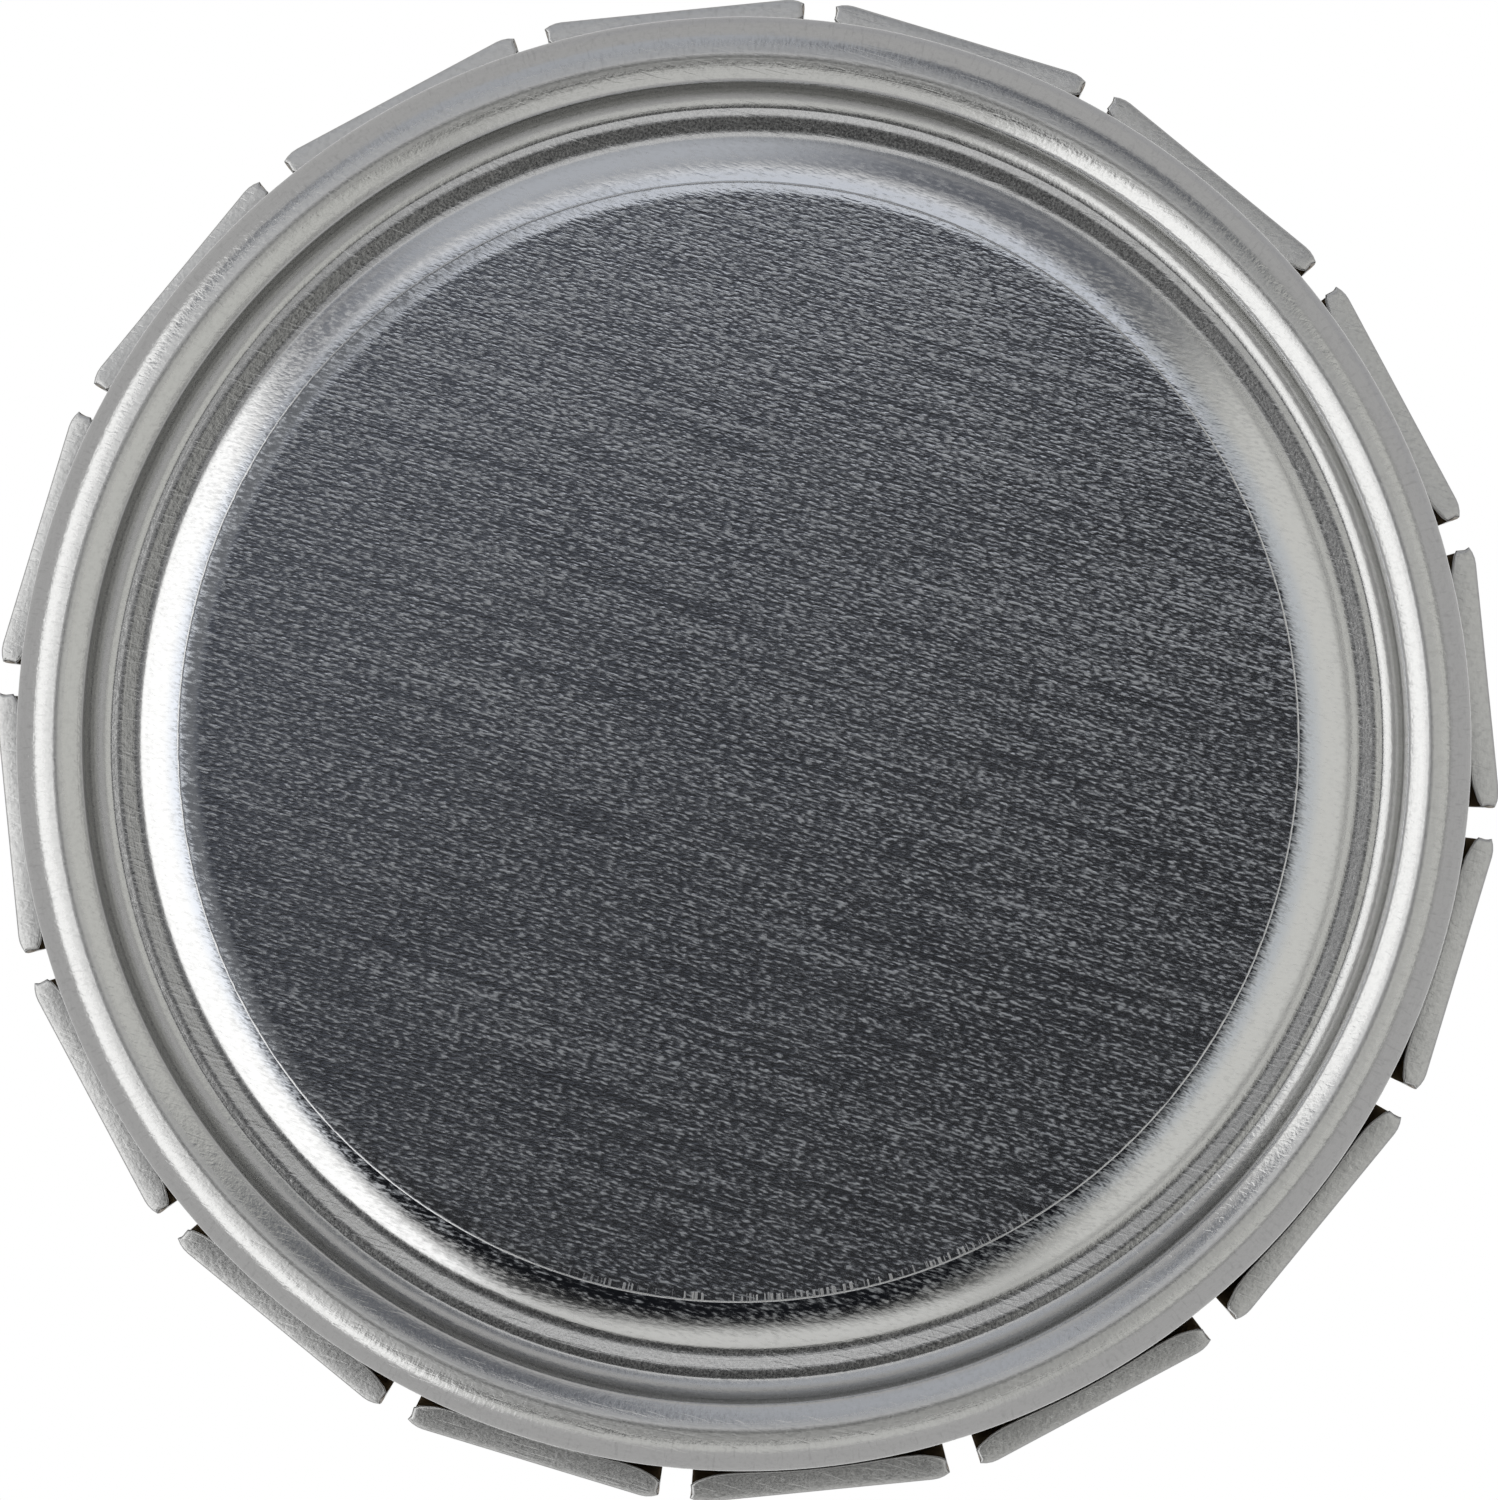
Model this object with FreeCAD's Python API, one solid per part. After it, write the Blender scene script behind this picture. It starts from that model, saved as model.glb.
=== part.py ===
import FreeCAD, Part
import math
import os

from FreeCAD import Vector

# Round press-lid mint tin, standing on its foot ring with the lid on top and closed.
# The axis of the tin is Z, and the origin is the middle of the foot ring on the table.
# All lengths are in millimetres and all angles in degrees.

# Tinplate of the base and the lid
sheet = 0.25

# How far a cutting block runs past what it cuts
cut_overrun = 1.0

# Base: a drawn cup with a foot ring below and a rolled rim above
base_radius = 22.65
base_height = 13.6
foot_outer_bend = 1.15
foot_land_width = 0.29
foot_inner_bend = 0.8
foot_wall_lean = 75.0
groove_depth = 1.3
groove_bend = 0.45
groove_width = 1.4
groove_lean = 6.0
crease_bend = 0.3
shoulder_run = 0.93
shoulder_lean = 28.0
shoulder_bend = 3.85
rim_overhang = 0.22
rim_roll_bend = 0.2
rim_roll_height = 2.0
rim_tuck_gap = 0.05
neck_below_roll = 0.7
neck_bend = 0.5

# Lid: ledge, springy dome, and a skirt of slotted tabs with lips under the base's rim
tab_count = 16
tab_slot_width = 1.0
lip_clearance = 0.05
lip_reach = 0.48
lip_end_inset = 0.05
lip_below_roll = 0.65
lip_bend = 0.2
lid_seat_gap = 0.05
lid_shoulder_bend = 1.6
skirt_bend = 2.2
tab_root_lean = 30.0
tab_hinge_gap = 0.03
ledge_width = 1.0
dome_rise = 2.0
dome_foot_bend = 1.2
press_radius = 12.0
press_gap = 0.05

# Clear label on the underside of the base
label_thickness = 0.08
label_inset = 0.45
label_shift = 0.18

# Mints: pressed tablets lying in rings and layers
mint_diameter = 7.4
mint_thickness = 2.9
mint_band = 1.7
mint_gap = 0.1
mint_wall_gap = 0.2
mint_layer_gap = 0.08
mint_headroom_below_rim = 2.4
mint_stagger_share = 0.382


def tan_deg(angle):
    return math.tan(math.radians(angle))


def on_profile(radius, height):
    """A point of a turned profile: radius along X, height along Z."""
    return Vector(radius, 0, height)


def left_of(direction):
    """The unit vector to the left of a direction in the profile plane."""
    return Vector(-direction.z, 0, direction.x)


def bent_edges(corners, bends, shift):
    """Lines and arcs along a bent path, moved to its left by shift; bends are the path's own radii."""
    points = [corners[0]]
    middles = [None]
    shifts = [left_of((corners[1] - corners[0]).normalize())]
    for before, corner, after, bend in zip(corners, corners[1:], corners[2:], bends):
        way_in = (corner - before).normalize()
        way_out = (after - corner).normalize()
        half_turn = math.acos(max(-1.0, min(1.0, way_in.dot(way_out)))) / 2
        tangent = bend * math.tan(half_turn)
        bisector = (way_out - way_in).normalize()
        centre = corner + bisector * (bend / math.cos(half_turn))
        side = 1 if left_of(way_in).dot(bisector) > 0 else -1
        middle = centre - bisector * (bend - side * shift)
        points += [corner - way_in * tangent, corner + way_out * tangent]
        middles += [None, middle]
        shifts += [left_of(way_in), left_of(way_out)]
    points.append(corners[-1])
    middles.append(None)
    shifts.append(left_of((corners[-1] - corners[-2]).normalize()))
    moved = [point + normal * shift for point, normal in zip(points, shifts)]
    edges = []
    for start, end, middle in zip(moved, moved[1:], middles[1:]):
        if middle is not None:
            edges.append(Part.Arc(start, middle, end).toShape())
        elif start.distanceToPoint(end) > Part.Vertex(start).Tolerance:
            edges.append(Part.makeLine(start, end))
    return edges


def sheet_face(corners, bends, thickness):
    """The section of a bent sheet that lies to the left of its path."""
    near = bent_edges(corners, bends, 0)
    far = bent_edges(corners, bends, thickness)
    near_ends = (near[0].Vertexes[0].Point, near[-1].Vertexes[-1].Point)
    far_ends = (far[0].Vertexes[0].Point, far[-1].Vertexes[-1].Point)
    caps = [Part.makeLine(near_ends[0], far_ends[0]), Part.makeLine(near_ends[1], far_ends[1])]
    return Part.Face(Part.Wire(Part.__sortEdges__(near + far + caps)))


def turned(face):
    """A section turned all the way round the tin's axis."""
    return face.revolve(Vector(0, 0, 0), Vector(0, 0, 1), 360)


def around(shape, angle):
    """A copy of a shape turned about the tin's axis."""
    copy = shape.copy()
    copy.rotate(Vector(0, 0, 0), Vector(0, 0, 1), angle)
    return copy


# Places that the base's sizes give, from the wall inwards
foot_land_outer = base_radius - foot_outer_bend
foot_land_inner = foot_land_outer - foot_land_width
foot_corner = foot_land_inner - foot_inner_bend * tan_deg(foot_wall_lean / 2)
groove_corner = foot_corner - groove_depth / tan_deg(foot_wall_lean)
crease_radius = groove_corner - groove_width
crease_height = groove_depth + groove_width * tan_deg(groove_lean)
panel_corner = crease_radius - shoulder_run
panel_height = crease_height - shoulder_run * tan_deg(shoulder_lean)
floor_height = crease_height + sheet
rim_outer = base_radius + rim_overhang
roll_outer_path = rim_outer - sheet
roll_inner_path = roll_outer_path - 2 * rim_roll_bend
roll_bottom = base_height - rim_roll_height
neck_top = roll_bottom - neck_below_roll + (base_radius - roll_inner_path)


def base_shell():
    """The drawn cup: panel, shoulder, groove, foot ring, wall, neck and rolled rim in one sheet."""
    corners = [
        on_profile(0, panel_height),
        on_profile(panel_corner, panel_height),
        on_profile(crease_radius, crease_height),
        on_profile(groove_corner, groove_depth),
        on_profile(foot_corner, 0),
        on_profile(base_radius, 0),
        on_profile(base_radius, roll_bottom - neck_below_roll),
        on_profile(roll_inner_path, neck_top),
        on_profile(roll_inner_path, base_height - sheet),
        on_profile(roll_outer_path, base_height - sheet),
        on_profile(roll_outer_path, roll_bottom + sheet),
        on_profile(roll_inner_path + rim_tuck_gap, roll_bottom + sheet),
    ]
    bends = [
        shoulder_bend,
        crease_bend,
        groove_bend,
        foot_inner_bend,
        foot_outer_bend,
        neck_bend,
        neck_bend,
        rim_roll_bend,
        rim_roll_bend,
        rim_roll_bend,
    ]
    return turned(sheet_face(corners, bends, sheet))


def base_label():
    """The clear film, stuck a little off centre on the flat panel."""
    middle = Vector(-label_shift, 0, panel_height - label_thickness)
    return Part.makeCylinder(panel_corner - label_inset, label_thickness, middle)


# Places that the lid's sizes give: the lips pass the rim, and the shoulder sits on it
lip_inner = rim_outer + lip_clearance
tab_inner_face = lip_inner + lip_reach
tab_face = tab_inner_face + sheet
lip_bottom = roll_bottom - lip_below_roll - sheet
shoulder_centre = tab_face - lid_shoulder_bend
roll_corner_radius = rim_roll_bend + sheet
seat_across = rim_outer - roll_corner_radius - shoulder_centre
seat_reach = lid_shoulder_bend - sheet - lid_seat_gap - roll_corner_radius
shoulder_height = base_height - roll_corner_radius - math.sqrt(seat_reach ** 2 - seat_across ** 2)
ledge_height = shoulder_height + lid_shoulder_bend
ledge_inner = shoulder_centre - ledge_width

# The dome's arc meets the ledge in a hollow bend
dome_foot_rise = ledge_height + dome_foot_bend
dome_sphere = (ledge_inner ** 2 + dome_rise ** 2) / (2 * dome_rise)
dome_centre = ledge_height + dome_rise - dome_sphere
dome_foot_centre = math.sqrt((dome_sphere + dome_foot_bend) ** 2 - (dome_foot_rise - dome_centre) ** 2)
dome_end_lean = math.degrees(math.asin(dome_foot_centre / (dome_sphere + dome_foot_bend)))


def on_shoulder(lean, depth):
    """A point of the lid's shoulder, at a lean from straight up and a depth under its outer face."""
    reach = lid_shoulder_bend - depth
    angle = math.radians(lean)
    return on_profile(shoulder_centre + reach * math.sin(angle), shoulder_height + reach * math.cos(angle))


def on_dome(lean, depth):
    """A point of the dome, at a lean from its axis and a depth under its outer face."""
    reach = dome_sphere - depth
    angle = math.radians(lean)
    return on_profile(reach * math.sin(angle), dome_centre + reach * math.cos(angle))


def on_dome_foot(lean, depth):
    """A point of the hollow bend between the dome and the ledge."""
    reach = dome_foot_bend + depth
    angle = math.radians(lean)
    return on_profile(dome_foot_centre - reach * math.sin(angle), dome_foot_rise - reach * math.cos(angle))


def arc_between(place, start, end, depth):
    """An arc of a lid surface between two leans."""
    middle = (start + end) / 2
    return Part.Arc(place(start, depth), place(middle, depth), place(end, depth)).toShape()


def face_of(edges):
    return Part.Face(Part.Wire(Part.__sortEdges__(edges)))


def lid_rim():
    """The flat ledge and the upper part of the rounded shoulder, above the slots."""
    start = [on_profile(dome_foot_centre, ledge_height - depth) for depth in (0, sheet)]
    bend = [on_shoulder(0, depth) for depth in (0, sheet)]
    end = [on_shoulder(tab_root_lean, depth) for depth in (0, sheet)]
    section = [
        Part.makeLine(start[0], bend[0]),
        arc_between(on_shoulder, 0, tab_root_lean, 0),
        Part.makeLine(end[0], end[1]),
        arc_between(on_shoulder, tab_root_lean, 0, sheet),
        Part.makeLine(bend[1], start[1]),
        Part.makeLine(start[1], start[0]),
    ]
    return turned(face_of(section))


def dome_lean_at(radius, depth):
    return math.degrees(math.asin(radius / (dome_sphere - depth)))


def lid_flex_ring():
    """The springy ring of the dome, which turns inside out when the middle is pressed."""
    inner = [dome_lean_at(press_radius, depth) for depth in (0, sheet)]
    section = [
        arc_between(on_dome, inner[0], dome_end_lean, 0),
        arc_between(on_dome_foot, dome_end_lean, 0, 0),
        Part.makeLine(on_dome_foot(0, 0), on_dome_foot(0, sheet)),
        arc_between(on_dome_foot, 0, dome_end_lean, sheet),
        arc_between(on_dome, dome_end_lean, inner[1], sheet),
        Part.makeLine(on_dome(inner[1], sheet), on_dome(inner[0], 0)),
    ]
    return turned(face_of(section))


def lid_press_center():
    """The middle of the dome, where the thumb presses."""
    edge = [dome_lean_at(press_radius - press_gap, depth) for depth in (0, sheet)]
    section = [
        arc_between(on_dome, 0, edge[0], 0),
        Part.makeLine(on_dome(edge[0], 0), on_dome(edge[1], sheet)),
        arc_between(on_dome, edge[1], 0, sheet),
        Part.makeLine(on_dome(0, sheet), on_dome(0, 0)),
    ]
    return turned(face_of(section))


# Places that the tabs' sizes give: flat faces cut from a round skirt that starts at the slots' roots
tab_pitch = 360 / tab_count
tab_angle = tab_pitch - math.degrees(tab_slot_width / tab_face)
tab_half_width = tab_inner_face * tan_deg(tab_angle / 2)
skirt_radius = tab_face / math.cos(math.radians(tab_pitch / 2))
tab_root = tab_root_lean + math.degrees(tab_hinge_gap / lid_shoulder_bend)


def skirt_block(depth, floor):
    """One tab's sector of the skirt, taken in by a depth, filled solid down to a floor and cut flat."""
    root = on_shoulder(tab_root, 0)
    turn_height = root.z - (skirt_radius - root.x) * tan_deg(tab_root)
    path = [root, on_profile(skirt_radius, turn_height), on_profile(skirt_radius, floor)]
    outside = bent_edges(path, [skirt_bend], -depth)
    centre = on_profile(shoulder_centre, shoulder_height)
    below = on_profile(shoulder_centre, floor)
    section = outside + [
        Part.makeLine(outside[-1].Vertexes[-1].Point, below),
        Part.makeLine(below, centre),
        Part.makeLine(centre, outside[0].Vertexes[0].Point),
    ]
    sector = face_of(section).revolve(Vector(0, 0, 0), Vector(0, 0, 1), tab_angle)
    return around(sector, -tab_angle / 2).common(inside_plane(tab_face - depth))


def inside_plane(distance):
    """A block whose outer face is a plane square to X, at a distance from the tin's axis."""
    corner = Vector(0, -skirt_radius, lip_bottom - cut_overrun)
    return Part.makeBox(distance, 2 * skirt_radius, ledge_height, corner)


def lid_tab():
    """One flat tab with its half-moon lip, for the place on +X."""
    wall = skirt_block(0, lip_bottom).cut(skirt_block(sheet, lip_bottom - cut_overrun))
    outline = Part.Ellipse(Vector(0, 0, 0), tab_half_width - lip_end_inset, lip_reach).toShape()
    lip = Part.Face(Part.Wire(outline)).extrude(Vector(0, 0, sheet))
    lip.rotate(Vector(0, 0, 0), Vector(0, 0, 1), 90)
    lip.translate(Vector(tab_inner_face, 0, lip_bottom))
    tab = wall.fuse(lip.common(inside_plane(tab_face))).removeSplitter()
    bottom = [
        edge for edge in tab.Edges
        if abs(edge.CenterOfMass.x - tab_face) < lip_bend / 2
        and abs(edge.CenterOfMass.z - lip_bottom) < lip_bend / 2
    ]
    return tab.makeFillet(lip_bend, bottom)


# Places of the mints: rings from the wall inwards, and layers from the floor up to the headroom
mint_pitch = mint_diameter + mint_gap
mint_layer_pitch = mint_thickness + mint_layer_gap
mint_floor = floor_height + mint_layer_gap
mint_fill_top = base_height - mint_headroom_below_rim
mint_layers = int((mint_fill_top - mint_floor) / mint_layer_pitch)
mint_outer_ring = base_radius - sheet - mint_wall_gap - mint_diameter / 2


def mint():
    """A pressed tablet: a straight band between two shallow domes, its lowest point at the origin."""
    half = mint_diameter / 2
    crown = (mint_thickness - mint_band) / 2
    sphere = (half ** 2 + crown ** 2) / (2 * crown)
    lean = math.asin(half / sphere) / 2
    half_way = on_profile(sphere * math.sin(lean), sphere * (1 - math.cos(lean)))
    top_half_way = on_profile(half_way.x, mint_thickness - half_way.z)
    band_low = on_profile(half, crown)
    band_high = on_profile(half, crown + mint_band)
    foot = on_profile(0, 0)
    top = on_profile(0, mint_thickness)
    section = [
        Part.Arc(foot, half_way, band_low).toShape(),
        Part.makeLine(band_low, band_high),
        Part.Arc(band_high, top_half_way, top).toShape(),
        Part.makeLine(top, foot),
    ]
    return turned(face_of(section))


def mints_in_ring(ring):
    """How many mints fit side by side on a ring; a ring too tight for a pair holds one, in its middle."""
    if 2 * ring < mint_pitch:
        return 1
    return int(math.pi / math.asin(mint_pitch / (2 * ring)))


def mints():
    """All the mints, ring by ring in each layer, every layer turned on from the one below."""
    tablet = mint()
    solids = []
    for layer in range(mint_layers):
        height = mint_floor + layer * mint_layer_pitch
        ring = mint_outer_ring
        while ring > 0:
            count = mints_in_ring(ring)
            reach = ring if count > 1 else 0
            for place in range(count):
                copy = tablet.copy()
                copy.translate(Vector(reach, 0, height))
                turn = (place + layer * mint_stagger_share) * 360 / count
                solids.append(around(copy, turn))
            ring = ring - mint_pitch
    return Part.makeCompound(solids)


parts = {
    "base_shell": base_shell(),
    "base_label": base_label(),
    "lid_rim": lid_rim(),
    "lid_flex_ring": lid_flex_ring(),
    "lid_press_center": lid_press_center(),
    "mints": mints(),
}
first_tab = lid_tab()
for number in range(tab_count):
    parts[f"lid_tab_{number + 1:02d}"] = around(first_tab, number * tab_pitch)

os.makedirs("parts", exist_ok=True)
for name, shape in parts.items():
    shape.exportStep(f"parts/{name}.step")
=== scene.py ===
import math
import random

import bmesh
import bpy
from mathutils import Matrix, Vector


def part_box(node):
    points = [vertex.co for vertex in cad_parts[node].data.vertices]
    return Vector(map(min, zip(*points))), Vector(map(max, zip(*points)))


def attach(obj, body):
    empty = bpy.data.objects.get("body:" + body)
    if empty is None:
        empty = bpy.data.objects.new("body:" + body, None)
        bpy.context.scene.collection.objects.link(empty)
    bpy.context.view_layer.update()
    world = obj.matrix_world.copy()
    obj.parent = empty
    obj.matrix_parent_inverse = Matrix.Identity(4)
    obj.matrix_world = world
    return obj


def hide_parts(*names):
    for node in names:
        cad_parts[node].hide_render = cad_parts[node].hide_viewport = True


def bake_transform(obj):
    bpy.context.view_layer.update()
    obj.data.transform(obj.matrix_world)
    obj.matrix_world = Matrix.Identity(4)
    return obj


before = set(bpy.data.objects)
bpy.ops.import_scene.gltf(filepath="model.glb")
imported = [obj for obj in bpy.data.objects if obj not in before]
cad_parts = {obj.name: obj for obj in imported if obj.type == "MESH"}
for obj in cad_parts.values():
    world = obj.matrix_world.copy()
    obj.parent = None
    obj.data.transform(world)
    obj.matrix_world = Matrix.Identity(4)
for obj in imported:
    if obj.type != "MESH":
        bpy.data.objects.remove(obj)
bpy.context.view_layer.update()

# Base: the lower half of the tin, one round cup drawn from a sheet of bare tinplate.
# Under it are a flat panel with a soft shoulder, a groove and a rounded foot ring to stand on;
# its top edge is necked in and rolled outwards into the rim that the lid snaps over.
MM = 0.001
sheet = 0.25 * MM
base_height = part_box("base_shell")[1].z
rim_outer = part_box("base_shell")[1].x
rim_overhang = 0.22 * MM
base_radius = rim_outer - rim_overhang
panel_height = 0.9527 * MM
panel_corner = 17.9178 * MM
panel_shift = Vector((0.128 * MM, -0.060 * MM, 0))
groove_shift_share = 0.65
crease_radius = 18.97 * MM
crease_height = 1.46 * MM
groove_slope = math.tan(math.radians(10))
groove_side_slope = math.tan(math.radians(15))
bead_inner = 19.55 * MM
bead_outer = 19.8 * MM
bead_step = 0.05 * MM
groove_corner = 20.323 * MM
wall_foot = 20.55 * MM
wall_foot_height = 0.343 * MM
foot_middle = 20.9 * MM
foot_middle_height = 0.155 * MM
foot_crest = 21.37 * MM
foot_crest_drop = 0.015 * MM
foot_side_height = 0.4 * MM
neck_start = 10.9 * MM
neck_end = 11.33 * MM
roll_inner = 22.22 * MM
roll_outer = rim_outer - sheet
roll_bottom = 11.6 * MM
roll_tuck = 0.05 * MM
shoulder_bend = 3.85 * MM
crease_bend = 0.6 * MM
bead_foot_bend = 0.5 * MM
bead_crest_bend = 0.12 * MM
groove_bend = 0.8 * MM
wall_foot_bend = 0.3 * MM
foot_middle_bend = 2.0 * MM
crest_bend = 0.33 * MM
foot_outer_bend = 1.2 * MM
neck_bend = 0.5 * MM
roll_bend = 0.2 * MM
base_bend_steps = [14, 5, 3, 3, 12, 6, 5, 4, 16, 5, 5, 5, 5, 5]
turn_steps = 240
merge_gap = 0.001 * MM
up = Vector((0, 0, 1))
tin_bright = (0.735, 0.76, 0.8, 1.0)
tin_dull = (0.59, 0.62, 0.68, 1.0)
tin_bent = (0.75, 0.75, 0.75, 1.0)
tin_worn = (0.65, 0.65, 0.645, 1.0)
tin_mark = (0.36, 0.36, 0.36, 1.0)
# Painted shade: a dark colour laid on the groove's steep wall, where little light reaches.
tin_painted_shade = (0.2, 0.2, 0.19, 1.0)
tin_polish = 0.06
tin_wear = 0.19
tin_scuff = 0.006 * MM
drawn_from = 18.6 * MM
drawn_to = 19.0 * MM
# Where the painted shade on the groove's steep wall starts and ends.
painted_shade_from = 19.95 * MM
painted_shade_to = 20.53 * MM
painted_shade_end = 0.04 * MM
bent_lead = (0.95 * MM, 0.45 * MM)
groove_end = (1.3 * MM, 0.9 * MM)
outer_start = (0.7 * MM, 1.0 * MM)
outer_height = (2.5 * MM, 0.8 * MM)
foot_start = (0.5 * MM, 0.75 * MM)
foot_end = (1.4 * MM, 1.0 * MM)
ray_stretch = 20.0
grain_fineness = (4000, 12500, 12500)
streak_fineness = (1700, 7500, 7500)
line_fineness = (170, 11000, 11000)
brushing_fineness = (120, 2600, 2600)
speckle_fineness = (15000, 15000, 15000)
mottle_fineness = (250, 250, 250)
pebble_fineness = (6000, 6000, 6000)
scratch_fineness = (700, 9000, 9000)
scratch_turn = 0.5
ray_fineness = (210, 210, 150)
ring_fineness = (3, 3, 1500)
grain_depth = 0.006 * MM
streak_depth = 0.003 * MM
speckle_depth = 0.002 * MM
ring_depth = 0.002 * MM
mottle_depth = 0.008 * MM
ray_depth = 0.001
outer_ray_depth = 0.004
pit_share = 25 / MM
pit_range = (-0.05, 0.25)
scratch_range = (0.62, 0.72)
scratch_share = 0.3
dark_line_range = (0.45, 0.25)
pale_line_range = (0.7, 0.8)
ray_mark_range = (0.54, 0.74)
ray_mark_share = 0.25
dash_level = 0.34
grain_share = 3.1
streak_share = 0.7
dark_line_share = 0.5
pale_line_share = 0.3
brushing_share = 0.4
flattened_share = 0.6
dash_tint = 0.7
mottle_tint = 0.5
least_tint = 0.15
worn_tint = 0.9
ring_tint = 0.5
painted_shade_tint = 0.9
bent_roughness = 0.08
dash_roughness = 0.27
bent_dash_loss = 0.12
speckle_roughness = 0.25
groove_roughness = 0.07
foot_roughness = 0.18
bead_inner_height = crease_height - (bead_inner - crease_radius) * groove_slope
bead_outer_height = bead_inner_height + bead_step
groove_height = bead_outer_height - (groove_corner - bead_outer) * groove_side_slope


def section_point(radius, height):
    """A point of a turned piece's section."""
    return Vector((radius, 0, height))


def start_piece(name):
    """A new piece of one point on the tin's axis, ready to be drawn out in edit mode."""
    if bpy.context.mode != "OBJECT":
        bpy.ops.object.mode_set(mode="OBJECT")
    bpy.ops.object.select_all(action="DESELECT")
    bpy.ops.mesh.primitive_plane_add(size=sheet)
    piece = bpy.context.object
    piece.name = name
    piece.data.name = name
    bpy.ops.object.mode_set(mode="EDIT")
    bpy.ops.mesh.select_mode(type="VERT")
    bpy.ops.mesh.merge(type="CENTER")
    return piece


def pick(piece, wanted):
    """Selects the points of a piece in edit mode for whose places wanted is true."""
    bpy.ops.mesh.select_all(action="DESELECT")
    mesh = bmesh.from_edit_mesh(piece.data)
    for vert in mesh.verts:
        vert.select_set(wanted(vert.co))
    mesh.select_flush_mode()
    bmesh.update_edit_mesh(piece.data)


def draw_section(piece, corners, bends=(), bend_steps=()):
    """Draws the point out from corner to corner, then bends each inner corner to its radius."""
    bpy.ops.transform.translate(value=corners[0])
    for start, end in zip(corners, corners[1:]):
        bpy.ops.mesh.extrude_vertices_move(TRANSFORM_OT_translate={"value": end - start})
    for before, corner, after, bend, steps in zip(corners, corners[1:], corners[2:], bends, bend_steps):
        half_turn = (corner - before).angle(after - corner) / 2
        pick(piece, lambda place: (place - corner).length < merge_gap)
        bpy.ops.mesh.bevel(
            affect="VERTICES", offset_type="OFFSET", offset=bend * math.tan(half_turn),
            segments=steps, profile=0.5,
        )


def turn_section(piece, facing=None, angle=2 * math.pi, steps=turn_steps):
    """Turns the section about the tin's axis and closes its seam. A skin's middle looks along facing."""
    bpy.ops.mesh.select_all(action="SELECT")
    bpy.ops.mesh.spin(steps=steps, angle=angle, center=(0, 0, 0), axis=-up)
    bpy.ops.mesh.select_all(action="SELECT")
    bpy.ops.mesh.remove_doubles(threshold=merge_gap)
    bpy.ops.mesh.normals_make_consistent(inside=False)
    if facing is not None:
        faces = bmesh.from_edit_mesh(piece.data).faces
        innermost = min(faces, key=lambda face: face.calc_center_median().xy.length)
        if innermost.normal.dot(facing) < 0:
            bpy.ops.mesh.flip_normals()
    bpy.ops.object.mode_set(mode="OBJECT")


def thicken(piece, thickness):
    """Gives a skin its wall, on the side away from its outer face."""
    bpy.ops.object.modifier_add(type="SOLIDIFY")
    wall = piece.modifiers[-1]
    wall.thickness = thickness
    wall.offset = -1
    wall.use_even_offset = True
    bpy.ops.object.modifier_apply(modifier=wall.name)


def smooth(piece, angle=40):
    """Shades a piece smooth, with its cut edges left crisp."""
    bpy.ops.object.select_all(action="DESELECT")
    piece.select_set(True)
    bpy.context.view_layer.objects.active = piece
    bpy.ops.object.shade_smooth_by_angle(angle=math.radians(angle))


def smoothstep(value, start, end):
    """Rises smoothly from 0 to 1 as a value goes from start to end."""
    share = min(1.0, max(0.0, (value - start) / (end - start)))
    return share * share * (3 - 2 * share)


class Wire:
    """One output of a shader node. Sums of wires and numbers add the Math nodes that work them out."""

    def __init__(self, tree, socket=None):
        self.tree = tree
        self.socket = socket

    def node(self, kind, settings=None, inputs=None, output=0):
        """Adds any other node: its settings are set first, then its sockets get values or wires."""
        node = self.tree.nodes.new(kind)
        for name, value in (settings or {}).items():
            setattr(node, name, value)
        for key, value in (inputs or {}).items():
            if isinstance(value, Wire):
                self.tree.links.new(value.socket, node.inputs[key])
            else:
                node.inputs[key].default_value = value
        return Wire(self.tree, node.outputs[output])

    def math(self, operation, first, second=0.0):
        return self.node("ShaderNodeMath", {"operation": operation}, {0: first, 1: second})

    def __add__(self, other):
        return self.math("ADD", self, other)

    def __radd__(self, other):
        return self.math("ADD", other, self)

    def __sub__(self, other):
        return self.math("SUBTRACT", self, other)

    def __rsub__(self, other):
        return self.math("SUBTRACT", other, self)

    def __mul__(self, other):
        return self.math("MULTIPLY", self, other)

    def __truediv__(self, other):
        return self.math("DIVIDE", self, other)

    def step(self, start, end):
        """Rises smoothly from 0 to 1 as this value goes from start to end."""
        settings = {"interpolation_type": "SMOOTHSTEP", "clamp": True}
        return self.node("ShaderNodeMapRange", settings, {0: self, 1: start, 2: end, 3: 0.0, 4: 1.0})

    def noise(self, scale, turn=0.0, detail=2.0):
        """Noise over a place, with its own scale along each axis, after a turn about the tin's axis."""
        inputs = {"Vector": self, "Rotation": (0, 0, turn), "Scale": scale}
        place = self.node("ShaderNodeMapping", {}, inputs)
        return self.node("ShaderNodeTexNoise", {}, {"Vector": place, "Scale": 1.0, "Detail": detail})

    def mix(self, low, high):
        """A colour between two, by this value."""
        settings = {"data_type": "RGBA"}
        return self.node("ShaderNodeMix", settings, {0: self, 6: low, 7: high}, output=2)

    def bump(self):
        """The tilt that this height gives a surface."""
        return self.node("ShaderNodeBump", {}, {"Strength": 1.0, "Distance": 1.0, "Height": self})


def new_finish(name):
    """A new material: the material, its shader, and the place on the piece."""
    finish = bpy.data.materials.new(name)
    finish.use_nodes = True
    tree = finish.node_tree
    place = Wire(tree).node("ShaderNodeTexCoord", output="Object")
    return finish, tree.nodes["Principled BSDF"], place


def put_on(shader, wires):
    """Leads wires into a shader's sockets."""
    for name, wire in wires.items():
        wire.tree.links.new(wire.socket, shader.inputs[name])


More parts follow.
